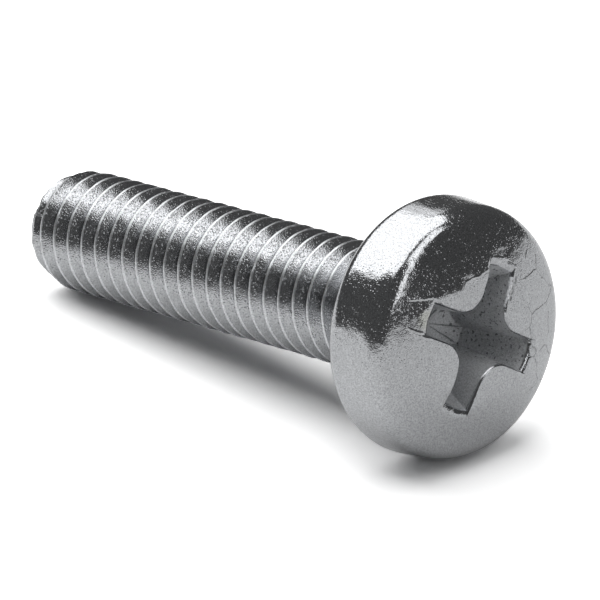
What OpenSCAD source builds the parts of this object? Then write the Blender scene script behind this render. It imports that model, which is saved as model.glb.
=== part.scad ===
// Pan head machine screw with a cross recess, M6 x 25, threaded up to the head.
// It lies on its side as it comes to rest, on the rim of its head and on its last crests.
// Z points up, the surface that it lies on is Z = 0, and the head is at the +X end.
// The screw is built upright, with the bearing face at height 0, the head above it and the
// tip below, and is laid down at the end.

/* [Thread] */
// Diameter over the crests
thread_d = 5.9; // [5.6:0.05:6.2]
// Distance from one turn to the next
pitch = 1; // [0.8:0.05:1.25]
// Angle between the two flanks of a groove
flank_angle = 60; // [50:1:60]
// Width of the flat along a crest
crest_flat = 0.15; // [0.1:0.01:0.2]
// Width of the flat along a root
root_flat = 0.15; // [0.1:0.01:0.2]
// Turns the start of the thread about the axis
thread_turn = 160; // [0:5:355]
// Flat facets in one turn
turn_facets = 36; // [24:4:40]

/* [Shank] */
// Length from the bearing face to the end of the tip
length = 24.6; // [12:0.2:30]
// Diameter of the flat end of the tip
tip_d = 5; // [4.8:0.05:5.3]
// Length of the bevel that leads from the tip to full thread
tip_bevel = 1.15; // [0.6:0.05:2]
// Diameter of the plain neck under the head
neck_d = 5.3; // [5:0.05:5.5]
// Length of the plain neck
neck_l = 1.1; // [0.8:0.1:2]
// Radius of the fillet between the neck and the bearing face
neck_fillet = 0.5; // [0.35:0.05:0.7]
// Slope at which the grooves run out into the neck, in degrees
run_out = 30; // [20:5:45]

/* [Head] */
// Widest diameter of the head
head_d = 12.1; // [10:0.1:14]
// Height from the bearing face to the top of the crown
head_h = 4.4; // [3.8:0.1:5.2]
// Radius of the crown
crown_r = 15; // [12:0.5:25]
// Slope of the side wall towards the crown, in degrees
side_draft = 4; // [0:0.5:8]
// Radius of the shoulder between side wall and crown
shoulder_r = 1.1; // [0.5:0.1:1.6]
// Radius of the rim between side wall and bearing face
rim_r = 0.8; // [0.3:0.1:1]

/* [Cross recess] */
// Span of the recess over two wings, at the crown
recess_span = 6.8; // [6:0.1:7.6]
// Width of a wing at the crown
wing_w = 1.46; // [1.2:0.02:1.8]
// Depth from the crown, at the wing ends, to where the floor starts
recess_depth = 3.1; // [2.4:0.1:3.3]
// Lean of a wing's side walls, in degrees
wing_draft = 5.75; // [3:0.25:7]
// Lean of the wing ends, in degrees
end_lean = 26.5; // [20:0.5:28]
// Radius of the corners of the lands, between one wing and the next
land_r = 1.25; // [0.8:0.05:1.5]
// Included angle of the conical floor, in degrees
floor_angle = 146; // [130:1:160]
// Direction of a wing about the axis
recess_turn = 58.5; // [0:0.5:90]

/* [Hidden] */
$fn = 96;
// Overrun with which a cutting shape passes through the face that it cuts
over = 0.2;
thread_r = thread_d / 2;
neck_r = neck_d / 2;
head_r = head_d / 2;
tip_r = tip_d / 2;
neck_low = -neck_fillet - neck_l;
// Run of one flank along the axis, and the radius of the root that it leads to
flank_run = (pitch - crest_flat - root_flat) / 2;
root_r = thread_r - flank_run / tan(flank_angle / 2);

// Points of an arc, as [radius, height], from angle a to angle b in n steps
function arc(centre, r, a, b, n) =
    [for (i = [0:n]) centre + r * [cos(a + (b - a) * i / n), sin(a + (b - a) * i / n)]];

// Centres of the rim's and the crown's arcs, as [radius, height]
rim_c = [head_r - rim_r, rim_r];
crown_c = [0, head_h - crown_r];
// Direction up the side wall, and the direction that the wall faces
wall_up = [-sin(side_draft), cos(side_draft)];
wall_out = [cos(side_draft), sin(side_draft)];
// The shoulder's centre is its radius inside the side wall and inside the crown's arc
beside = rim_c + (rim_r - shoulder_r) * wall_out - crown_c;
inner = crown_r - shoulder_r;
climb = sqrt(pow(beside * wall_up, 2) - beside * beside + inner * inner) - beside * wall_up;
shoulder_c = crown_c + beside + climb * wall_up;
shoulder_end = atan2(shoulder_c[1] - crown_c[1], shoulder_c[0]);

// The recess is measured from the height of the crown at its wing ends
mouth_r = recess_span / 2;
mouth_z = crown_c[1] + sqrt(crown_r * crown_r - mouth_r * mouth_r);
floor_z = mouth_z - recess_depth;
floor_r = mouth_r - recess_depth * tan(end_lean);
floor_drop = floor_r / tan(floor_angle / 2);
cut_top = head_h + over;
cut_low = floor_z - floor_drop - over;
// Half the width of a wing at height z
function wing_half(z) = wing_w / 2 + (z - mouth_z) * tan(wing_draft);
// Distance of a land's corner centre from the middle of the wings beside it
corner_c = wing_w / 2 + land_r;

// Lying down, the floor touches the rim of the head and the edge where the bevel ends
rest_run = length - tip_bevel + rim_r;
rest_rise = head_r - rim_r - thread_r;
lie = asin(rim_r / norm([rest_run, rest_rise])) + atan2(rest_rise, rest_run);
// Middle of the bearing face over the floor, and how far it is from the middle of the length
bearing_z = (head_r - rim_r) * cos(lie) + rim_r - rim_r * sin(lie);
head_end = crown_c[1] * cos(lie) + crown_r;
tip_end = -length * cos(lie) - tip_r * sin(lie);
bearing_x = -(head_end + tip_end) / 2;

// Head, fillet and neck, turned in one, with the cone in which the grooves run out
module head_blank() {
    run_out_r = root_r - over;
    run_out_low = neck_low - (neck_r - run_out_r) / tan(run_out);
    rotate_extrude()
        polygon(concat(
            [[0, run_out_low], [run_out_r, run_out_low], [neck_r, neck_low]],
            arc([neck_r + neck_fillet, -neck_fillet], neck_fillet, 180, 90, 6),
            arc(rim_c, rim_r, -90, side_draft, 8),
            arc(shoulder_c, shoulder_r, side_draft, shoulder_end, 8),
            arc(crown_c, crown_r, shoulder_end, 90, 12)));
}

// One of the four lands that stand between the wings, with its rounded corner
module land() {
    low_r = corner_c - wing_half(cut_low);
    top_r = corner_c - wing_half(cut_top);
    translate([corner_c, corner_c, cut_low])
        linear_extrude(height = cut_top - cut_low, scale = top_r / low_r)
            polygon(concat(arc([0, 0], low_r, 180, 270, 8),
                           [[head_r, -low_r], [head_r, head_r], [-low_r, head_r]]));
}

// The sloping wing ends and the shallow floor that bound the recess
module recess_bounds() {
    rotate_extrude()
        polygon([[0, floor_z - floor_drop], [floor_r, floor_z],
                 [floor_r + (cut_top - floor_z) * tan(end_lean), cut_top], [0, cut_top]]);
}

module cross_recess() {
    difference() {
        recess_bounds();
        for (quarter = [0:3])
            rotate([0, 0, recess_turn + 90 * quarter]) land();
    }
}

// Right-hand thread. Four lines wind up it: the edges of the crest and of the root.
module thread_helix(low, high) {
    radii = [root_r, thread_r, thread_r, root_r];
    rises = [0, flank_run, flank_run + crest_flat, 2 * flank_run + crest_flat];
    steps = ceil((high - low) / pitch * turn_facets);
    last = steps - turn_facets;
    // Turn about the axis and height of a step
    function turn(step) = thread_turn + 360 * step / turn_facets;
    function height(step) = low + pitch * step / turn_facets;
    // Number of a line's point at a step: line 4 is line 0 one turn further on
    function p(step, line) = line < 4 ? 4 * step + line : 4 * (step + turn_facets);
    low_pole = 4 * (steps + 1);
    high_pole = low_pole + 1;
    points = [for (step = [0:steps], line = [0:3])
        [radii[line] * cos(turn(step)), radii[line] * sin(turn(step)), height(step) + rises[line]]];
    poles = [[0, 0, height(0)], [0, 0, height(steps)]];
    skin = [for (step = [0:last - 1], line = [0:3], half = [0, 1])
        half == 0 ? [p(step, line), p(step + 1, line + 1), p(step + 1, line)]
                  : [p(step, line), p(step, line + 1), p(step + 1, line + 1)]];
    low_end = concat(
        [for (step = [0:turn_facets - 1]) [low_pole, p(step, 0), p(step + 1, 0)]],
        [for (line = [0:3]) [low_pole, p(0, line + 1), p(0, line)]]);
    high_end = concat(
        [for (step = [last:steps - 1]) [high_pole, p(step + 1, 0), p(step, 0)]],
        [for (line = [0:3]) [high_pole, p(last, line), p(last, line + 1)]]);
    polyhedron(points = concat(points, poles), faces = concat(skin, low_end, high_end));
}

// What the thread is trimmed to: flat tip, bevel, and crests that end at the neck
module shank_blank() {
    clear_r = thread_r + over;
    inside_r = neck_r - over;
    inside_z = neck_low + clear_r - inside_r;
    bevel_end = -length + tip_bevel * (clear_r - tip_r) / (thread_r - tip_r);
    rotate_extrude()
        polygon([[0, -length], [tip_r, -length], [clear_r, bevel_end],
                 [clear_r, neck_low], [inside_r, inside_z], [0, inside_z]]);
}

module screw() {
    color("silver")
        translate([bearing_x, 0, bearing_z])
            rotate([0, 90 - lie, 0])
                union() {
                    difference() {
                        head_blank();
                        cross_recess();
                    }
                    intersection() {
                        thread_helix(-length - 1.5 * pitch, pitch / 2);
                        shank_blank();
                    }
                }
}

screw();
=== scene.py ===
# %% [markdown]
# # A pan head machine screw in bright zinc
#
# The object is one small steel screw that lies on its side on a white table. This lesson
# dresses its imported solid: it models a finer screw with Blender's own tools, gives it a
# procedural zinc finish, and lights it as the photograph was lit.
#
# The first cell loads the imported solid. Every size below is measured against it.

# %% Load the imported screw
import math
import bpy
import mathutils
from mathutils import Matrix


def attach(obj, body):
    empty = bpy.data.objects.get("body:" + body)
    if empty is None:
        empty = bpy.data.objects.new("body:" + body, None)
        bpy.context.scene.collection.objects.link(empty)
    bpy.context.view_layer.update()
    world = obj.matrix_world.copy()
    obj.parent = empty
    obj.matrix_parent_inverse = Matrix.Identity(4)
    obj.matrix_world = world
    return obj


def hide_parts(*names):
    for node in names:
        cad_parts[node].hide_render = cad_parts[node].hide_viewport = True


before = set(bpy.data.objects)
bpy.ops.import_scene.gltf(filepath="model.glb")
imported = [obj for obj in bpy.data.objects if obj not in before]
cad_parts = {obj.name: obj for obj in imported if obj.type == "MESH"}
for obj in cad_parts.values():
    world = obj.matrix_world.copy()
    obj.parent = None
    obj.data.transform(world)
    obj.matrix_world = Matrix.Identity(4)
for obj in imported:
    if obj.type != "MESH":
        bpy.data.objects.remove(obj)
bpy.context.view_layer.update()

# %% [markdown]
# ## Sizes
#
# A screw is turned and rolled about one axis, so it is easiest to model it standing upright:
# the bearing face of the head at height 0, the head above it and the thread below. Blender's
# mesh tools have small fixed tolerances, so one unit is one millimetre while we model, and
# the finished screw is laid down and scaled to metres at the end.
#
# The head is spun in as many spokes as the outline of its recess has points. The two can then
# be joined by a clean ring of faces.

# %% Sizes of the screw, in millimetres
MM_PER_M = 1000
LENGTH = 24.6
PITCH = 1.0
CREST_R = 2.95
CREST_FLAT = 0.10
ROOT_FLAT = 0.20
HALF_FLANK = math.radians(30)
FLANK_RUN = (PITCH - CREST_FLAT - ROOT_FLAT) / 2
ROOT_R = CREST_R - FLANK_RUN / math.tan(HALF_FLANK)
TIP_R = 2.5
TIP_BEVEL = 1.15
NECK_R = 2.65
NECK_LOW = -1.6
NECK_FILLET = 0.5
HEAD_R = 6.05
HEAD_H = 4.4
CROWN_R = 15.0
SIDE_DRAFT = math.radians(4)
SHOULDER_R = 1.1
RIM_R = 0.8
SKIN = 0.01
print("thread depth", round(CREST_R - ROOT_R, 3), "mm")

# %% Steps round the recess and the head
CORNER_STEPS = 16
SIDE_STEPS = 10
END_STEPS = 12
SPOKES = 4 * (CORNER_STEPS + 2 * SIDE_STEPS + END_STEPS)
MERGE_GAP = 0.0005
print("spokes of the head:", SPOKES)

# %% [markdown]
# ## Lying down
#
# The head is wider than the shank, so the screw rests on the rim of its head and on its last
# crests, and its axis rises towards the head. The angle follows from the sizes.

# %% Where the screw lies
rest_run = LENGTH - TIP_BEVEL + RIM_R
rest_rise = HEAD_R - RIM_R - CREST_R
LIE = math.asin(RIM_R / math.hypot(rest_run, rest_rise)) + math.atan2(rest_rise, rest_run)
BEARING_Z = (HEAD_R - RIM_R) * math.cos(LIE) + RIM_R - RIM_R * math.sin(LIE)
HEAD_END = (HEAD_H - CROWN_R) * math.cos(LIE) + CROWN_R
TIP_END = -LENGTH * math.cos(LIE) - TIP_R * math.sin(LIE)
BEARING_X = -(HEAD_END + TIP_END) / 2
print("the axis rises", round(math.degrees(LIE), 2), "degrees")

# %% [markdown]
# ## Camera
#
# The photograph was taken from the head's side, from above, with a long lens: the thread
# hardly narrows with distance. The numbers come from fitting the outlines of the head, the
# shank and the tip, and the turns of the thread, to the sizes above. Lens and sensor are in
# millimetres, the place in metres and the angles in degrees.

# %% Camera
FOCAL_LENGTH = 398.6
SENSOR_WIDTH = 36
CAMERA_AT = (0.20948, -0.19160, 0.13233)
CAMERA_AZIMUTH = 47.27
CAMERA_ELEVATION = 24.39
camera_data = bpy.data.cameras.new("camera")
camera_data.sensor_width = SENSOR_WIDTH
camera_data.lens = FOCAL_LENGTH
camera_data.clip_start = 0.01
camera_data.clip_end = 10
camera = bpy.data.objects.new("camera", camera_data)
bpy.context.scene.collection.objects.link(camera)
camera.location = CAMERA_AT
camera.rotation_euler = (math.radians(90 - CAMERA_ELEVATION), 0, math.radians(CAMERA_AZIMUTH))
bpy.context.scene.camera = camera
print("camera is", round(camera.location.length, 3), "m from the screw")

# %% [markdown]
# ## Drawing an outline
#
# A turned part starts as half of its outline. `draw_line` draws it as a machinist would
# sketch it: one point, and an extrude to each next point. `arc` gives the points of a
# rounding. Each new object starts with nothing else selected, because the operators act on
# all that is selected.

# %% Helpers for outlines
def arc(centre, r, a, b, n):
    """Points of an arc about centre, from angle a to angle b in n steps."""
    turns = [a + (b - a) * i / n for i in range(n + 1)]
    return [(centre[0] + r * math.cos(t), centre[1] + r * math.sin(t)) for t in turns]


def add_point(name):
    """A new mesh of one vertex at the world's centre, left in edit mode."""
    bpy.ops.object.select_all(action="DESELECT")
    bpy.ops.mesh.primitive_plane_add(size=1)
    bpy.context.object.name = name
    bpy.ops.object.mode_set(mode="EDIT")
    bpy.ops.mesh.select_mode(type="VERT")
    bpy.ops.mesh.select_all(action="SELECT")
    bpy.ops.mesh.merge(type="CENTER")
    return bpy.context.object


def draw_line(name, points):
    """A chain of edges through points, given as (radius, height)."""
    line = add_point(name)
    at = (0.0, 0.0)
    for i, (r, z) in enumerate(points):
        step = (r - at[0], 0, z - at[1])
        if i == 0:
            bpy.ops.transform.translate(value=step)
        else:
            bpy.ops.mesh.extrude_region_move(TRANSFORM_OT_translate={"value": step})
        at = (r, z)
    bpy.ops.object.mode_set(mode="OBJECT")
    return line


print("helpers for outlines are ready")

# %% [markdown]
# ## Head
#
# The head is cold formed: a flat bearing face, a rounded rim, a side wall with a little
# draft, a soft shoulder and a shallow crown. All of it is one outline turned about the axis,
# so it is spun. The shoulder touches both the side wall and the crown, and its centre follows
# from that. The outline stops short of the middle of the crown, because the cross recess goes
# there. Below the bearing face it goes on into the neck and a cone inside the thread, so that
# head and thread overlap when they are united.

# %% Outline of the head
crown_c = (0.0, HEAD_H - CROWN_R)
rim_c = (HEAD_R - SKIN - RIM_R, RIM_R)
wall_up = mathutils.Vector((-math.sin(SIDE_DRAFT), math.cos(SIDE_DRAFT)))
wall_out = mathutils.Vector((math.cos(SIDE_DRAFT), math.sin(SIDE_DRAFT)))
beside = mathutils.Vector(rim_c) + (RIM_R - SHOULDER_R) * wall_out - mathutils.Vector(crown_c)
inner = CROWN_R - SHOULDER_R
along = beside.dot(wall_up)
climb = math.sqrt(along * along - beside.dot(beside) + inner * inner) - along
shoulder_c = mathutils.Vector(crown_c) + beside + climb * wall_up
shoulder_end = math.atan2(shoulder_c[1] - crown_c[1], shoulder_c[0])
print("the crown meets the shoulder", round(inner * math.cos(shoulder_end), 2), "mm from the axis")


def crown_height(r):
    """Height of the crown at distance r from the axis."""
    return crown_c[1] + math.sqrt(CROWN_R * CROWN_R - r * r)


# %% Spin the head
OPEN_R = 4.3
OVERLAP = 0.2
RUN_OUT = math.radians(30)
RUN_OUT_R = ROOT_R - OVERLAP
run_out_low = NECK_LOW - (NECK_R - RUN_OUT_R) / math.tan(RUN_OUT)
fillet_c = (NECK_R + NECK_FILLET, -NECK_FILLET)
open_angle = math.acos(OPEN_R / CROWN_R)
outline = [(0, run_out_low), (RUN_OUT_R, run_out_low), (NECK_R, NECK_LOW)]
outline += arc(fillet_c, NECK_FILLET, math.pi, math.pi / 2, 8)
outline += arc(rim_c, RIM_R, -math.pi / 2, SIDE_DRAFT, 14)
outline += arc(shoulder_c, SHOULDER_R, SIDE_DRAFT, shoulder_end, 18)
outline += arc(crown_c, CROWN_R, shoulder_end, open_angle, 4)[1:]
head = draw_line("head", outline)
bpy.ops.object.mode_set(mode="EDIT")
bpy.ops.mesh.select_all(action="SELECT")
bpy.ops.mesh.spin(steps=SPOKES, angle=2 * math.pi, center=(0, 0, 0), axis=(0, 0, 1))
bpy.ops.mesh.select_all(action="SELECT")
bpy.ops.mesh.remove_doubles(threshold=MERGE_GAP)
bpy.ops.object.mode_set(mode="OBJECT")
print("head:", len(head.data.vertices), "vertices,", len(head.data.polygons), "faces")

# %% [markdown]
# ## Cross recess
#
# A punch forms the recess, so its walls lean: a little at the sides of the four wings, and
# more at their ends. Between the wings stand four lands with rounded corners, and the metal
# that the punch drags in gives the wing ends a soft lip.
#
# Edges and vertices are chosen by their place, and `pick` does that for any test.

# %% Helper for selecting
NEAR = 0.001


def pick(mesh_object, mode, test):
    """Selects the vertices or edges whose points all pass the test, in edit mode."""
    bpy.ops.mesh.select_all(action="DESELECT")
    bpy.ops.mesh.select_mode(type=mode)
    bpy.ops.object.mode_set(mode="OBJECT")
    mesh = mesh_object.data
    if mode == "VERT":
        for v in mesh.vertices:
            v.select = test(v.co)
    else:
        for e in mesh.edges:
            e.select = all(test(mesh.vertices[i].co) for i in e.vertices)
    bpy.ops.object.mode_set(mode="EDIT")


print("places are met within", NEAR, "mm")

# %% [markdown]
# The plan of the recess starts as a small square whose four edges are extruded into wings. The
# four inner corners are bevelled to the roundness of the lands. Then the wing ends are divided,
# so that they can follow a circle, and so are the straight sides.

# %% Plan of the recess
WING_HALF = 0.73
MOUTH_R = 3.35
LAND_R = 1.25
CORNER_C = WING_HALF + LAND_R
RECESS_TURN = math.radians(58.5)

bpy.ops.object.select_all(action="DESELECT")
bpy.ops.mesh.primitive_plane_add(size=2 * WING_HALF)
recess = bpy.context.object
recess.name = "recess"
bpy.ops.object.mode_set(mode="EDIT")
for x, y in ((1, 0), (0, 1), (-1, 0), (0, -1)):
    pick(recess, "EDGE", lambda p: abs(p.x * x + p.y * y - WING_HALF) < NEAR
         and abs(p.x * y - p.y * x) < WING_HALF + NEAR)
    reach = MOUTH_R - WING_HALF
    bpy.ops.mesh.extrude_region_move(
        TRANSFORM_OT_translate={"value": (reach * x, reach * y, 0)})
pick(recess, "EDGE", lambda p: max(abs(p.x), abs(p.y)) < WING_HALF + NEAR)
bpy.ops.mesh.dissolve_edges(use_verts=False)
pick(recess, "VERT", lambda p: max(abs(p.x), abs(p.y)) < WING_HALF + NEAR)
bpy.ops.mesh.bevel(offset=LAND_R, segments=CORNER_STEPS, affect="VERTICES")
pick(recess, "EDGE", lambda p: max(abs(p.x), abs(p.y)) > MOUTH_R - NEAR)
bpy.ops.mesh.subdivide(number_cuts=END_STEPS - 1)
pick(recess, "EDGE", lambda p: max(abs(p.x), abs(p.y)) > CORNER_C - NEAR
     and abs(min(abs(p.x), abs(p.y)) - WING_HALF) < NEAR)
bpy.ops.mesh.subdivide(number_cuts=SIDE_STEPS - 1)
bpy.ops.object.mode_set(mode="OBJECT")
print("plan of the recess:", len(recess.data.vertices), "points, spokes of the head:", SPOKES)

# %% [markdown]
# Every level of the recess is this plan, moved out or in: by one amount at the side walls,
# where the rounded corners grow or shrink about their own centres, and by another at the
# wing ends. `level` gives that move for any point of the plan.

# %% One level of the recess
plan = [v.co.copy() for v in recess.data.vertices]


def level(p, side, end):
    """Point p of the plan, moved out by side at the walls and by end at the wing ends."""
    if abs(p.x) < CORNER_C and abs(p.y) < CORNER_C:
        corner = mathutils.Vector((math.copysign(CORNER_C, p.x), math.copysign(CORNER_C, p.y)))
        away = (p.xy - corner) * (LAND_R - side) / LAND_R
        return corner + away
    grow = (MOUTH_R + end - CORNER_C) / (MOUTH_R - CORNER_C)
    widen = (WING_HALF + side) / WING_HALF
    if abs(p.x) > abs(p.y):
        u, v = abs(p.x), p.y * widen
    else:
        u, v = abs(p.y), p.x * widen
    bow = math.sqrt(MOUTH_R ** 2 - min(abs(v), WING_HALF) ** 2) if u > MOUTH_R - NEAR else u
    u = CORNER_C + (bow - CORNER_C) * grow
    if abs(p.x) > abs(p.y):
        return mathutils.Vector((math.copysign(u, p.x), v))
    return mathutils.Vector((v, math.copysign(u, p.y)))


print("the plan has", len(plan), "points to move")

# %% [markdown]
# A level is given by its two moves and its depth, in millimetres. Five levels make the lip:
# the first lies on the crown, and the others round it off, most at the wing ends. The next
# five follow the leaning walls down to where the floor starts. `WALL_START` is the depth at
# which the walls have the size of the plan. The lip's depths are measured from the crown
# itself, and those of the walls from the crown's height at the wing ends.

# %% Levels of the recess
WING_END_R = 3.4
RECESS_DEPTH = 3.1
WING_DRAFT = math.radians(5.75)
END_LEAN = math.radians(26.5)
HALF_FLOOR_ANGLE = math.radians(73)
WALL_START = 0.1
LIP_DEPTH = 0.2
MOUTH_Z = crown_height(WING_END_R)
FLOOR_Z = MOUTH_Z - RECESS_DEPTH
FLOOR_R = WING_END_R - RECESS_DEPTH * math.tan(END_LEAN)
FLOOR_DROP = FLOOR_R / math.tan(HALF_FLOOR_ANGLE)
levels = [
    (0.16, 0.42, 0.0),
    (0.09, 0.32, 0.0),
    (0.055, 0.21, 0.035),
    (0.025, 0.09, 0.09),
    (0.0, 0.0, 0.16),
]
for depth in (0.7, 1.4, 2.1, 2.6, RECESS_DEPTH):
    drop = depth - WALL_START
    levels.append((-drop * math.tan(WING_DRAFT), -drop * math.tan(END_LEAN), depth))
print(len(levels), "levels, floor", round(MOUTH_Z - FLOOR_Z + FLOOR_DROP, 2), "mm deep at its centre")

# %% [markdown]
# The mouth isn't clean. The punch drags the corner of each land in, so the lands slope down to
# the recess like small ramps, from a wavy line between one wing's end and the next. A driver
# left the lip ragged and raised two burrs. All three are heights that depend on the place in
# the plan, with a noise that is the same each time; each layer of it is another pattern.

# %% Wear at the mouth
DISH_SLOPE = math.radians(5.0)
LIP = 0.15
CHORD_WAVE = 0.6
RAGGED = 0.035
BURR = 0.06
SIDE_BURR = (0.84, 2.5)
END_BURR = (3.5, 0.0)


def noise_at(x, y, layer):
    """Smooth noise, from about -1 to 1."""
    return mathutils.noise.noise(mathutils.Vector((x, y, layer)))


def dish(x, y):
    """How far a land is pressed down at a point of the plan."""
    from_chord = (MOUTH_R + LIP + WING_HALF - abs(x) - abs(y)) / math.sqrt(2)
    from_chord += CHORD_WAVE * noise_at(0.9 * x, 0.9 * y, 2.0)
    return math.tan(DISH_SLOPE) * max(0.0, from_chord)


def ragged(x, y):
    """Small heights that a driver left on the lip."""
    coarse = noise_at(1.7 * x, 1.7 * y, 4.0)
    fine = noise_at(5.0 * x, 5.0 * y, 9.0)
    return RAGGED * (coarse + 0.6 * fine)


def ridge(across, width, along, reach):
    """1 in the middle of a ridge, falling to 0 over width across it and over reach along it."""
    return math.exp(-(across / width) ** 2) * max(0.0, 1 - abs(along) / reach)


def burr(x, y):
    """Raised burrs: along the right side of the upper wing and at the end of the right one."""
    at_side = ridge(x - SIDE_BURR[0], 0.06, y - SIDE_BURR[1], 1.1)
    at_end = ridge(x - END_BURR[0], 0.1, y - END_BURR[1], 0.8)
    wobble = 0.7 + noise_at(2.0 * x, 3.0 * y, 1.0)
    return BURR * wobble * (at_side + 0.8 * at_end)


nose = CORNER_C - LAND_R / math.sqrt(2)
print("a land slopes down by", round(dish(nose, nose), 2), "mm at its corner")

# %% [markdown]
# Now the plan is extruded down level by level, and each new level is put in its place. Its
# points carry the number of the plan point that they came from, because an extrude gives
# vertices a new order. Levels of the lip follow the worn crown. Levels of the walls are flat
# near the mouth and take on the cone of the floor as they go down. The extrude itself goes
# down by next to nothing, because `place_level` then sets the true height.

# %% Extrude the recess
A_LITTLE_DOWN = {"value": (0, 0, -0.01)}


def place_level(points, side, end, depth):
    """Moves each vertex, paired with its plan point, to its place on one level."""
    for v, p in points:
        q = level(p, side, end)
        r = q.length
        top = crown_height(r) - dish(q.x, q.y)
        sag = FLOOR_DROP * (1 - min(r, FLOOR_R) / FLOOR_R)
        share = depth / RECESS_DEPTH
        top += ragged(q.x, q.y) + burr(q.x, q.y)
        z = top - depth if depth < LIP_DEPTH else MOUTH_Z - depth - share * sag
        v.co = (q.x, q.y, z)


def match_plan(mesh_object, chosen):
    """Pairs each chosen vertex with the plan point that it was extruded from."""
    return [(v, plan[mesh_object.data.attributes["plan"].data[v.index].value]) for v in chosen]


label = recess.data.attributes.new("plan", "INT", "POINT")
for v in recess.data.vertices:
    label.data[v.index].value = v.index
place_level(match_plan(recess, recess.data.vertices), *levels[0])
bpy.ops.object.mode_set(mode="EDIT")
bpy.ops.mesh.select_mode(type="FACE")
bpy.ops.mesh.select_all(action="SELECT")
bpy.ops.object.mode_set(mode="OBJECT")
for side, end, depth in levels[1:]:
    bpy.ops.object.mode_set(mode="EDIT")
    bpy.ops.mesh.extrude_region_move(TRANSFORM_OT_translate=A_LITTLE_DOWN)
    bpy.ops.object.mode_set(mode="OBJECT")
    lowest = [v for v in recess.data.vertices if v.select]
    place_level(match_plan(recess, lowest), side, end, depth)
print("recess:", len(recess.data.vertices), "vertices,", len(recess.data.polygons), "faces")

# %% [markdown]
# The floor of the recess is a shallow cone. Two more rings lead inwards from the foot of the
# walls, and the last one is merged to a point, so the floor is closed without a large flat
# face whose shading would show. The points within `RINGS_R` of the axis get the heights of the
# cone. The face that the plan started from still closes the mouth, because an extrude of a
# whole sheet keeps it, so it is deleted.

# %% Close the floor of the recess
RINGS_R = 1.2
bpy.ops.object.mode_set(mode="EDIT")
for shrink in (0.6, 0.4):
    bpy.ops.mesh.extrude_region_move(TRANSFORM_OT_translate=A_LITTLE_DOWN)
    bpy.ops.transform.resize(value=(shrink, shrink, 1))
bpy.ops.mesh.merge(type="CENTER")
bpy.ops.mesh.select_mode(type="VERT")
bpy.ops.mesh.select_all(action="DESELECT")
bpy.ops.object.mode_set(mode="OBJECT")
for v in recess.data.vertices:
    v.select = v.index < SPOKES
    r = v.co.xy.length
    if r < RINGS_R:
        v.co.z = FLOOR_Z - FLOOR_DROP * (1 - r / FLOOR_R)
bpy.ops.object.mode_set(mode="EDIT")
bpy.ops.mesh.delete(type="ONLY_FACE")
bpy.ops.object.mode_set(mode="OBJECT")
print("lowest point of the recess:", round(min(v.co.z for v in recess.data.vertices), 3), "mm")

# %% [markdown]
# The recess is turned to its direction, joined to the head, and the two open edges are
# bridged. They have the same number of points, so the bridge is a clean ring of quads. The
# rings that it adds are lifted onto the worn crown, where the ragged heights fade outwards.

# %% Bridge the recess to the crown
BRIDGE_RINGS = 10
RAGGED_R = 1.5
bpy.ops.object.select_all(action="DESELECT")
recess.select_set(True)
bpy.context.view_layer.objects.active = recess
recess.rotation_euler.z = RECESS_TURN
bpy.ops.object.transform_apply(location=False, rotation=True, scale=False)
head.select_set(True)
bpy.context.view_layer.objects.active = head
bpy.ops.object.join()
first_ring = len(head.data.vertices)
bpy.ops.object.mode_set(mode="EDIT")
bpy.ops.mesh.select_mode(type="EDGE")
bpy.ops.mesh.select_all(action="DESELECT")
bpy.ops.mesh.select_non_manifold(extend=False)
bpy.ops.mesh.bridge_edge_loops(number_cuts=BRIDGE_RINGS, interpolation="LINEAR")
bpy.ops.mesh.select_all(action="SELECT")
bpy.ops.mesh.normals_make_consistent(inside=False)
bpy.ops.object.mode_set(mode="OBJECT")
for v in head.data.vertices[first_ring:]:
    on_plan = mathutils.Matrix.Rotation(-RECESS_TURN, 2) @ v.co.xy
    fade = max(0.0, 1 - (v.co.xy.length - RAGGED_R) / (OPEN_R - RAGGED_R))
    press = dish(on_plan.x, on_plan.y) - fade * ragged(on_plan.x, on_plan.y)
    v.co.z = crown_height(v.co.xy.length) - press
print("head with its recess:", len(head.data.polygons), "faces")

# %% [markdown]
# ## Thread
#
# The thread is rolled: hard dies press the grooves in and the metal rises between them. A
# rolled groove has a rounded root and a crest with soft corners. One pitch of that outline is
# drawn once, and the Screw modifier winds it up the shank, which is just what the dies do.
# `THREAD_TURN`, in degrees, turns the thread about the axis, so that its crests lie where the
# photograph shows them.

# %% Outline of one pitch
THREAD_TURN = 160
CREST_ROUND = 0.05
ROOT_ROUND = (ROOT_FLAT / 2) / math.tan(HALF_FLANK)
crest_start = -LENGTH - 1.5 * PITCH + FLANK_RUN + CREST_FLAT / 2
crest_at_zero = crest_start - PITCH * THREAD_TURN / 360
root_low = crest_at_zero - PITCH / 2
root_c = (ROOT_R + ROOT_ROUND, root_low)
corner_z = CREST_FLAT / 2 - CREST_ROUND * math.tan(HALF_FLANK)
crest_low_c = (CREST_R - CREST_ROUND, crest_at_zero - corner_z)
crest_high_c = (CREST_R - CREST_ROUND, crest_at_zero + corner_z)
root_high_c = (ROOT_R + ROOT_ROUND, root_low + PITCH)
pitch_line = arc(root_c, ROOT_ROUND, math.pi, math.radians(120), 2)
pitch_line += arc(crest_low_c, CREST_ROUND, math.radians(-60), 0, 3)
pitch_line += arc(crest_high_c, CREST_ROUND, 0, math.radians(60), 3)
pitch_line += arc(root_high_c, ROOT_ROUND, math.radians(-120), -math.pi, 2)
print("one pitch:", len(pitch_line), "points")

# %% [markdown]
# The winding starts below the tip and ends above the neck. Two cuts make it the right length:
# one at the tip and one inside the neck, where the head hides it.

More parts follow.
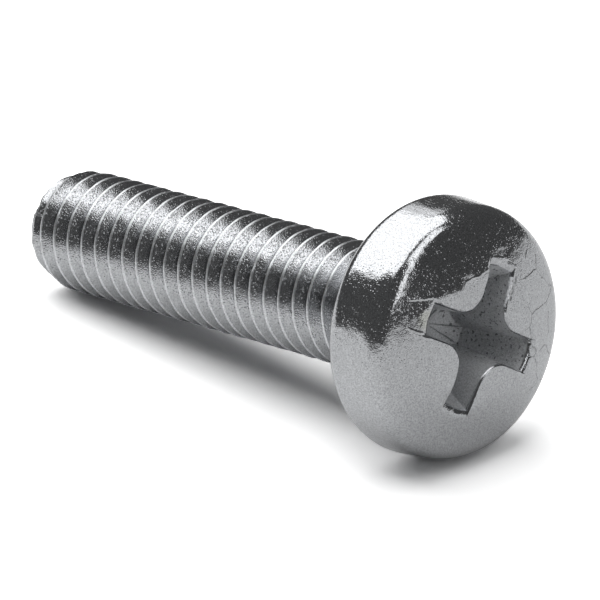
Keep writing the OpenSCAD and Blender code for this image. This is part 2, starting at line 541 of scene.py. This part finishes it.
# %% Wind the thread
STEPS = 96
WINDS = 26
THREAD_TOP = -0.9
thread = draw_line("thread", pitch_line)
screw_turns = thread.modifiers.new("turns", "SCREW")
screw_turns.axis = "Z"
screw_turns.angle = 2 * math.pi
screw_turns.screw_offset = PITCH
screw_turns.iterations = WINDS
screw_turns.steps = STEPS
screw_turns.render_steps = STEPS
bpy.ops.object.modifier_apply(modifier="turns")
bpy.ops.object.mode_set(mode="EDIT")
bpy.ops.mesh.select_all(action="SELECT")
bpy.ops.mesh.remove_doubles(threshold=MERGE_GAP)
bpy.ops.mesh.select_all(action="SELECT")
bpy.ops.mesh.bisect(
    plane_co=(0, 0, SKIN - LENGTH), plane_no=(0, 0, 1), use_fill=True, clear_inner=True)
bpy.ops.mesh.select_all(action="SELECT")
bpy.ops.mesh.bisect(
    plane_co=(0, 0, THREAD_TOP), plane_no=(0, 0, 1), use_fill=True, clear_outer=True)
bpy.ops.mesh.select_all(action="SELECT")
bpy.ops.mesh.normals_make_consistent(inside=False)
bpy.ops.object.mode_set(mode="OBJECT")
print("thread:", len(thread.data.polygons), "faces")

# %% [markdown]
# The crests are lower at both ends: at the tip by a bevel that leads the screw into a nut, and
# at the neck where the dies stop. So each point is drawn in to the widest radius that its
# height allows. Knocks against other screws also wore the crests, so they are lowered by up
# to a few hundredths here and there, and the tip more, by a noise that is the same each time.

# %% Trim the ends of the thread
NECK_CLEAR = 0.2
NICK = 0.05
NICK_SCALE = 1.3
NICKED_FROM = CREST_R - 0.08
TIP_WEAR = 0.16
TIP_WEAR_SCALE = 1.7
TIP_WORN = 1.8


def widest(z):
    """Largest radius of the thread at height z."""
    at_tip = TIP_R + (CREST_R - TIP_R) * (z + LENGTH) / TIP_BEVEL
    at_neck = CREST_R + NECK_CLEAR - (z - NECK_LOW)
    return min(CREST_R, at_tip, at_neck)


for v in thread.data.vertices:
    r = v.co.xy.length
    dent = 0.0
    if r > NICKED_FROM:
        dent = NICK * max(0.0, mathutils.noise.noise(NICK_SCALE * v.co) + 0.1)
    near_tip = max(0.0, 1 - (v.co.z + LENGTH) / TIP_WORN)
    dent += TIP_WEAR * near_tip * max(0.0, mathutils.noise.noise(TIP_WEAR_SCALE * v.co))
    limit = min(r, widest(v.co.z)) - dent
    v.co.xy *= limit / r
print("radius at the tip:", round(widest(-LENGTH), 2), "mm")

# %% [markdown]
# Head and shank are one piece of wire, so the two closed meshes are united, laid down and
# brought to metres. The finished object stays at the origin, unturned and unscaled.

# %% Unite head and thread
SHARP_FROM = math.radians(40)
bpy.ops.object.select_all(action="DESELECT")
bpy.context.view_layer.objects.active = head
head.select_set(True)
union = head.modifiers.new("union", "BOOLEAN")
union.operation = "UNION"
union.solver = "EXACT"
union.object = thread
bpy.ops.object.modifier_apply(modifier="union")
bpy.data.objects.remove(thread)
head.scale = [1 / MM_PER_M] * 3
head.rotation_euler = (0, math.pi / 2 - LIE, 0)
head.location = (BEARING_X / MM_PER_M, 0, BEARING_Z / MM_PER_M)
bpy.ops.object.transform_apply(location=True, rotation=True, scale=True)
bpy.ops.object.shade_smooth_by_angle(angle=SHARP_FROM)
screw = head
screw.name = "screw_dressed"
print("screw:", len(screw.data.polygons), "faces")

# %% [markdown]
# ## Zinc finish
#
# The screw is plated with bright zinc over steel that was cold formed, so it is a metal with
# a cool grey colour, slightly rough, and covered with grain about a tenth of a millimetre
# wide. The grain is seen where a lamp's reflection ends: there it breaks the edge up into
# sparks. So most of it is bump, with a little in the colour. Such a finish takes many small
# nodes, and these helpers keep them readable.

# %% Helpers for materials
def new_material(name):
    """An empty node material and its tree."""
    material = bpy.data.materials.new(name)
    material.use_nodes = True
    material.node_tree.nodes.clear()
    return material, material.node_tree


def feed(tree, socket, value):
    """Links a socket to another one, or sets it to a number or vector."""
    if isinstance(value, bpy.types.NodeSocket):
        tree.links.new(value, socket)
    else:
        socket.default_value = value


def add_node(tree, kind, settings=None, **inputs):
    """Adds a node, sets its properties, and sets or links its inputs by name."""
    node = tree.nodes.new(kind)
    for key, value in (settings or {}).items():
        setattr(node, key, value)
    for key, value in inputs.items():
        feed(tree, node.inputs[key.replace("_", " ")], value)
    return node


print("helpers for materials are ready")

# %% [markdown]
# The next helpers do sums with numbers and vectors. They add their nodes to `tree`, which is
# always the node tree that is being made. `ramp` turns a range of values into a soft mask, and
# `where` turns a mask into one number outside it and another inside.

# %% Helpers for numbers and vectors
zinc, tree = new_material("zinc_plating")


def number(operation, a, b):
    """One operation on two numbers or sockets."""
    node = add_node(tree, "ShaderNodeMath", {"operation": operation})
    feed(tree, node.inputs[0], a)
    feed(tree, node.inputs[1], b)
    return node.outputs[0]


def product(*values):
    """All the values multiplied."""
    result = values[0]
    for value in values[1:]:
        result = number("MULTIPLY", result, value)
    return result


def vector(operation, a, b=(0, 0, 0), output="Vector"):
    """One operation on two vectors or sockets."""
    node = add_node(tree, "ShaderNodeVectorMath", {"operation": operation})
    feed(tree, node.inputs[0], a)
    feed(tree, node.inputs[1], b)
    return node.outputs[output]


def ramp(value, low, high, to_low=0.0, to_high=1.0):
    """Maps value from low..high to to_low..to_high, with soft ends."""
    return add_node(tree, "ShaderNodeMapRange", {"interpolation_type": "SMOOTHSTEP"}, Value=value,
                    From_Min=low, From_Max=high, To_Min=to_low, To_Max=to_high).outputs[0]


def where(mask, outside, inside):
    """One number outside a mask and another inside it."""
    return ramp(mask, 0.0, 1.0, outside, inside)


print("helpers for numbers and vectors are ready")

# %% [markdown]
# The patterns need coordinates in millimetres along the screw's own axis. A Mapping node of
# the Texture type undoes the laying down and the scale. From them come soft masks for the
# places whose finish or painted shading differs: the recess, the crown, the thread, its crests
# and its roots. The two numbers of each ramp are where the mask starts and where it is full:
# a height, or a distance from the axis or from the centre of the crown's curve.

# %% Places on the screw
place = add_node(tree, "ShaderNodeTexCoord").outputs["Object"]
upright = add_node(tree, "ShaderNodeMapping", {"vector_type": "TEXTURE"}, Vector=place,
                   Location=(BEARING_X / MM_PER_M, 0, BEARING_Z / MM_PER_M),
                   Rotation=(0, math.pi / 2 - LIE, 0), Scale=[1 / MM_PER_M] * 3).outputs[0]
apart = add_node(tree, "ShaderNodeSeparateXYZ", Vector=upright).outputs
flat = add_node(tree, "ShaderNodeCombineXYZ", X=apart["X"], Y=apart["Y"]).outputs[0]
from_axis = vector("LENGTH", flat, output="Value")
from_crown_centre = vector("DISTANCE", upright, (0, 0, HEAD_H - CROWN_R), "Value")
sunk = ramp(from_crown_centre, CROWN_R - 0.1, CROWN_R - 0.35)
in_recess = product(sunk, ramp(from_axis, 4.0, 3.7), ramp(apart["Z"], 0.1, 0.3))
on_crown = ramp(apart["Z"], 2.6, 3.9)
on_thread = ramp(apart["Z"], -0.2, -0.6)
on_crest = product(ramp(from_axis, CREST_R - 0.07, CREST_R - 0.03), on_thread)
in_root = product(ramp(from_axis, ROOT_R + 0.15, ROOT_R + 0.05), on_thread)
print("masks for recess, crown, thread, crests and roots")

# %% [markdown]
# The grain has three sizes: a fine noise of a fifteenth of a millimetre, small pits that a
# Voronoi pattern scatters, of which only a few are deep, and low waves about half a
# millimetre long that make the reflections wander.

# %% Grain
fine = add_node(tree, "ShaderNodeTexNoise", Vector=upright, Scale=14.0, Detail=2.0,
                Roughness=0.6).outputs["Fac"]
waves = add_node(tree, "ShaderNodeTexNoise", Vector=upright, Scale=1.6, Detail=3.0,
                 Roughness=0.55).outputs["Fac"]
cells = add_node(tree, "ShaderNodeTexVoronoi", Vector=upright, Scale=12.0)
chance = add_node(tree, "ShaderNodeSeparateColor", Color=cells.outputs["Color"]).outputs[0]
rare = product(chance, chance, number("MAXIMUM", chance, on_thread))
pits = product(ramp(cells.outputs["Distance"], 0.6, 0.05), rare)
print("three sizes of grain")

# %% [markdown]
# Cold forming leaves hair cracks at the right edge of the crown. They follow the edges of a
# Voronoi pattern whose place is warped by a noise, so that no edge is straight.

# %% Hair cracks
WARP = 0.54
warp = add_node(tree, "ShaderNodeTexNoise", Vector=upright, Scale=1.2, Detail=4.0)
bent = vector("ADD", upright, vector("MULTIPLY", warp.outputs["Color"], (WARP, WARP, WARP)))
plates = add_node(tree, "ShaderNodeTexVoronoi", {"feature": "DISTANCE_TO_EDGE"}, Vector=bent,
                  Scale=0.585)
at_edge = product(on_crown, ramp(apart["Y"], 2.2, 3.4), ramp(waves, 0.42, 0.5))
cracks = product(ramp(plates.outputs["Distance"], 0.035, 0.0), at_edge)
print("hair cracks at the edge of the crown")

# %% [markdown]
# Beside the recess the punch folded the skin in a few places, and a driver tore a burr along
# the upper wing, whose bright line is a painted highlight. Each of these is a crooked line: the
# distance from a stretch between two points, with noise added to the place. The folds are given
# on the screw, and the burr on the plan of the recess.

# %% Folds, and a torn burr with a painted highlight
WANDER = 0.22
wander = add_node(tree, "ShaderNodeTexNoise", Vector=upright, Scale=2.5, Detail=3.0)
off_centre = vector("SUBTRACT", wander.outputs["Color"], (0.5, 0.5, 0.5))
crooked = vector("ADD", flat, vector("MULTIPLY", off_centre, (WANDER, WANDER, 0)))


def near_line(start, end, width):
    """1 on a line across the crown from start to end, falling to 0 at width away."""
    run = (end[0] - start[0], end[1] - start[1], 0)
    here = vector("SUBTRACT", crooked, (start[0], start[1], 0))
    along = vector("DOT_PRODUCT", here, run, "Value")
    share = add_node(tree, "ShaderNodeMapRange", Value=along,
                     From_Max=run[0] ** 2 + run[1] ** 2).outputs[0]
    gap = vector("DISTANCE", here, vector("MULTIPLY", share, run), "Value")
    return product(ramp(gap, width, 0.0), on_crown)


def on_screw(x, y):
    """A point of the recess's plan, turned to its place on the screw."""
    return mathutils.Matrix.Rotation(RECESS_TURN, 2) @ mathutils.Vector((x, y))


folds = near_line((-2.88, -0.6), (-3.04, 0.8), 0.10)
folds = number("ADD", folds, near_line((-2.85, -3.7), (-2.7, -2.6), 0.09))
folds = number("ADD", folds, near_line((-1.65, -4.1), (-1.15, -3.3), 0.09))
torn_burr_highlight = product(near_line(on_screw(0.78, 1.75), on_screw(0.78, 3.05), 0.09),
               where(in_recess, 1.0, 0.0))
print("three folds and a burr")

# %% [markdown]
# The right side of the recess has dark specks, dark crumbs lie beside the burr, and there is a
# faint brown stain at the left wing's end.

# %% Specks, crumbs and a stain
STAIN_AT = (-1.77, -3.08, 3.95)
speck_noise = add_node(tree, "ShaderNodeTexNoise", Vector=upright, Scale=7.0, Detail=1.0)
dots = ramp(speck_noise.outputs["Fac"], 0.62, 0.68)
specks = product(dots, in_recess, ramp(apart["Y"], 0.2, 1.0))
crumbs = product(near_line(on_screw(1.0, 2.1), on_screw(0.97, 3.1), 0.2),
                 ramp(speck_noise.outputs["Fac"], 0.46, 0.52))
stain = ramp(vector("DISTANCE", upright, STAIN_AT, "Value"), 0.7, 0.2)
print("specks, crumbs and a stain")

# %% [markdown]
# The colour is a neutral grey with a trace of blue, which the grain mottles. Each place then
# makes it darker or brighter by a factor of its own: the crown and the roots darker as painted
# shade, the cracks, specks and crumbs darker, the crests brighter where they were rubbed and as
# a painted highlight, and the line of the burr brighter as a painted highlight. The stain takes
# a little of the blue away.

# %% Colour
tone = ramp(fine, 0.28, 0.72, 0.31, 0.51)
tone_factors = [
    # painted shade: the crown is darkened for the dimmer reflection that it shows
    (on_crown, 0.86),
    (in_recess, 1.18),
    (cracks, 0.55),
    (specks, 0.3),
    (on_thread, 0.98),
    # the crests: partly rubbed wear and partly a painted highlight
    (on_crest, 1.45),
    # painted shade in the roots of the thread
    (in_root, 0.75),
    # painted highlight: a bright line along the burr
    (torn_burr_highlight, 2.4),
    (crumbs, 0.3),
]
for mask, factor in tone_factors:
    tone = product(tone, where(mask, 1.0, factor))
colour = add_node(tree, "ShaderNodeCombineColor", Red=tone, Green=product(tone, 1.02),
                  Blue=product(tone, where(stain, 1.05, 0.97)))
print("colour is set for", len(tone_factors), "kinds of places")

# %% [markdown]
# The recess is rougher and duller than the rest, because the plating hardly reaches into it.
# The thread is a little rougher than the crown, and the crests and the burr more so. Where two
# places overlap, the rougher one counts.

# %% Roughness
PLATED = 0.10
rough = PLATED
for mask, roughness in ((in_recess, 0.6), (on_thread, 0.16), (on_crest, 0.3), (torn_burr_highlight, 0.5)):
    rough = number("MAXIMUM", rough, where(mask, PLATED, roughness))
steel = where(in_recess, 1.0, 0.5)
print("roughness is set")

# %% [markdown]
# Relief comes last. Each Bump node adds one height to the normal that it is given, so waves,
# fine grain, pits, cracks and folds stand in a row. Each line gives the pattern, its depth in
# metres and whether it is sunk. On the thread the waves are lower and the fine grain and the
# pits are deeper, because the rolling dies roughened it.

# %% Relief
reliefs = [
    (product(waves, where(on_thread, 1.0, 0.3)), 0.00002, False),
    (product(fine, where(on_thread, 1.0, 2.2)), 0.000003, False),
    (product(pits, where(on_thread, 1.0, 1.6)), 0.000008, True),
    (cracks, 0.00001, True),
    (folds, 0.00002, False),
]
normal = None
for height, depth, sunken in reliefs:
    bump = add_node(tree, "ShaderNodeBump", {"invert": sunken}, Height=height, Strength=1.0,
                    Distance=depth)
    if normal:
        tree.links.new(normal, bump.inputs["Normal"])
    normal = bump.outputs[0]
metal = add_node(tree, "ShaderNodeBsdfPrincipled", Base_Color=colour.outputs[0], Metallic=steel,
                 Roughness=rough, Normal=normal)
add_node(tree, "ShaderNodeOutputMaterial", Surface=metal.outputs[0])
screw.data.materials.clear()
screw.data.materials.append(zinc)
print("finish:", len(tree.nodes), "nodes")

# %% [markdown]
# ## Lamps
#
# A softbox is placed by the direction in which it stands, and its edges are given as tangents
# in its own plane, because that is how they are read off the reflections in the metal. Its
# power is given per square metre, so that rectangles of any size can be equally bright.

# %% Helpers for softboxes
LAMP_FAR = 0.5


def aim(azimuth, elevation):
    """Direction from the screw, with azimuth 0 towards -Y and 90 towards +X, in degrees."""
    a = math.radians(azimuth)
    e = math.radians(elevation)
    return mathutils.Vector((math.sin(a) * math.cos(e), -math.cos(a) * math.cos(e), math.sin(e)))


def add_softbox(name, towards, long_axis, low, high, power):
    """A rectangular lamp that faces the screw, between two corners given as tangents."""
    data = bpy.data.lights.new(name, "AREA")
    data.shape = "RECTANGLE"
    data.size = LAMP_FAR * (high[0] - low[0])
    data.size_y = LAMP_FAR * (high[1] - low[1])
    data.energy = power * data.size * data.size_y
    lamp = bpy.data.objects.new(name, data)
    bpy.context.scene.collection.objects.link(lamp)
    across = (long_axis - long_axis.dot(towards) * towards).normalized()
    up = towards.cross(across)
    turn = mathutils.Matrix((across, up, towards)).transposed().to_4x4()
    middle = (low[0] + high[0]) / 2 * across + (low[1] + high[1]) / 2 * up
    lamp.matrix_world = mathutils.Matrix.Translation(LAMP_FAR * (towards + middle)) @ turn


print("lamps stand", LAMP_FAR, "m away")

# %% [markdown]
# A large softbox hangs over the screw and a smaller one stands to its right. Their
# reflections are the bright patches on the head and on the flanks of the thread, and the metal
# shows their form. The large one has a slanted edge, made here of two small additions, and a
# dimmer flap behind. The right one is wide above and narrow below, so it is made of two
# rectangles, the upper one a little brighter.

# %% Softboxes
ABOVE_POWER = 7.35
RIGHT_POWER = 5.9
ABOVE = aim(-90, 75)
ALONG = mathutils.Vector((1, 0, 0))
add_softbox("softbox_above", ABOVE, ALONG, (-1.1, -0.65), (0.58, 0.62), ABOVE_POWER)
add_softbox("softbox_slant_near", ABOVE, ALONG, (0.58, -0.65), (0.82, -0.2), ABOVE_POWER)
add_softbox("softbox_slant_far", ABOVE, ALONG, (0.58, -0.2), (0.68, 0.05), ABOVE_POWER)
add_softbox("softbox_behind", ABOVE, ALONG, (-1.15, 0.65), (-0.6, 0.95), 0.55 * ABOVE_POWER)
add_softbox("softbox_right_high", aim(107, 54), aim(131, 57) - aim(85, 51),
            (-0.29, -0.165), (0.29, 0.158), 1.18 * RIGHT_POWER)
add_softbox("softbox_right_low", aim(94, 28), aim(98, 45) - aim(90, 12),
            (-0.296, -0.11), (0.296, 0.154), RIGHT_POWER)
print("power per square metre:", ABOVE_POWER, "W above and", RIGHT_POWER, "W at the right")

# %% [markdown]
# ## Table
#
# The table is white cloth under a white sweep. Near the screw it is a plain diffuse surface
# that keeps the shadow, and further out it fades to an even white for the camera and for
# reflections. To the camera its colour is raised, so that it is white where the lamps reach
# it in full, and that adds no light to the screw.

# %% Table
TABLE_R = 1.2
CLOTH_R = 0.05
WHITE_R = 0.1
SHOWN_TONE = 1.6
bpy.ops.object.select_all(action="DESELECT")
bpy.ops.mesh.primitive_circle_add(vertices=96, radius=TABLE_R, fill_type="NGON")
table = bpy.context.object
table.name = "table"
white, tree = new_material("white_table")
place = add_node(tree, "ShaderNodeTexCoord").outputs["Object"]
out = vector("LENGTH", place, output="Value")
fade = add_node(tree, "ShaderNodeMapRange", Value=out, From_Min=CLOTH_R, From_Max=WHITE_R)
path = add_node(tree, "ShaderNodeLightPath").outputs
shade = add_node(tree, "ShaderNodeMapRange", Value=path["Is Camera Ray"], To_Min=1.0,
                 To_Max=SHOWN_TONE)
paint = add_node(tree, "ShaderNodeBsdfDiffuse", Color=shade.outputs[0])
glow = add_node(tree, "ShaderNodeEmission", Color=(1, 1, 1, 1), Strength=1.0)
seen = number("MAXIMUM", path["Is Camera Ray"], path["Is Glossy Ray"])
mix = add_node(tree, "ShaderNodeMixShader", Fac=product(seen, fade.outputs[0]))
tree.links.new(paint.outputs[0], mix.inputs[1])
tree.links.new(glow.outputs[0], mix.inputs[2])
add_node(tree, "ShaderNodeOutputMaterial", Surface=mix.outputs[0])
table.data.materials.append(white)
print("table of", TABLE_R, "m")

# %% [markdown]
# ## Dark room
#
# In the photograph the room around the table is dark, which gives the metal its black parts.
# A dome stands for it. Only reflections see it, so it takes no light from the table and
# isn't in the picture.

# %% Dark room
ROOM_GLOW = 0.11
bpy.ops.object.select_all(action="DESELECT")
bpy.ops.mesh.primitive_uv_sphere_add(segments=48, ring_count=24, radius=TABLE_R)
room = bpy.context.object
room.name = "dark_room"
bpy.ops.object.mode_set(mode="EDIT")
bpy.ops.mesh.select_all(action="SELECT")
bpy.ops.mesh.bisect(plane_co=(0, 0, 0), plane_no=(0, 0, 1), clear_inner=True)
bpy.ops.object.mode_set(mode="OBJECT")
dark, tree = new_material("dark_cloth")
glow = add_node(tree, "ShaderNodeEmission", Color=(1, 1, 1, 1), Strength=ROOM_GLOW)
add_node(tree, "ShaderNodeOutputMaterial", Surface=glow.outputs[0])
room.data.materials.append(dark)


def show_in_reflections_only(thing):
    """Hides a thing from the camera and from all light but reflections."""
    thing.visible_camera = False
    thing.visible_diffuse = False
    thing.visible_transmission = False
    thing.visible_volume_scatter = False
    thing.visible_shadow = False


show_in_reflections_only(room)
print("dark room:", len(room.data.polygons), "faces")

# %% [markdown]
# ## Black card
#
# A low card of the same dark cloth stands on the table behind the screw. It hides the far part
# of the white table from the upper edges of the head and the thread, which would otherwise
# mirror it. Sizes are in metres.

# %% Black card
CARD_FAR = 0.10
CARD_LENGTH = 0.10
CARD_HEIGHT = 0.012
CARD_TURN = math.radians(-137)
bpy.ops.object.select_all(action="DESELECT")
bpy.ops.mesh.primitive_plane_add(size=1)
card = bpy.context.object
card.name = "black_card"
card.dimensions = (CARD_LENGTH, CARD_HEIGHT, 0)
card.rotation_euler = (math.pi / 2, 0, CARD_TURN)
card.location = (CARD_FAR * math.sin(CARD_TURN), -CARD_FAR * math.cos(CARD_TURN), CARD_HEIGHT / 2)
bpy.ops.object.transform_apply(location=True, rotation=True, scale=True)
card.data.materials.append(dark)
show_in_reflections_only(card)
print("black card at", CARD_FAR, "m")

# %% [markdown]
# ## World
#
# The world is white to the camera, as the paper behind the screw is, and nearly dark to
# everything else, because the softboxes are the only lamps.

# %% World
DARK_SKY = 0.004
world = bpy.data.worlds.new("surroundings")
bpy.context.scene.world = world
world.use_nodes = True
tree = world.node_tree
tree.nodes.clear()
path = add_node(tree, "ShaderNodeLightPath").outputs
seen = number("MAXIMUM", path["Is Camera Ray"], path["Is Transmission Ray"])
sky_strength = add_node(tree, "ShaderNodeMapRange", Value=seen, To_Min=DARK_SKY, To_Max=1.0)
sky = add_node(tree, "ShaderNodeBackground", Color=(1, 1, 1, 1), Strength=sky_strength.outputs[0])
add_node(tree, "ShaderNodeOutputWorld", Surface=sky.outputs[0])
bpy.context.scene.view_settings.view_transform = "Standard"
print("world is white to the camera")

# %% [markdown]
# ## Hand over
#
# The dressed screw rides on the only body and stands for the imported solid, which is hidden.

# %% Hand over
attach(screw, "root")
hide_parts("screw")
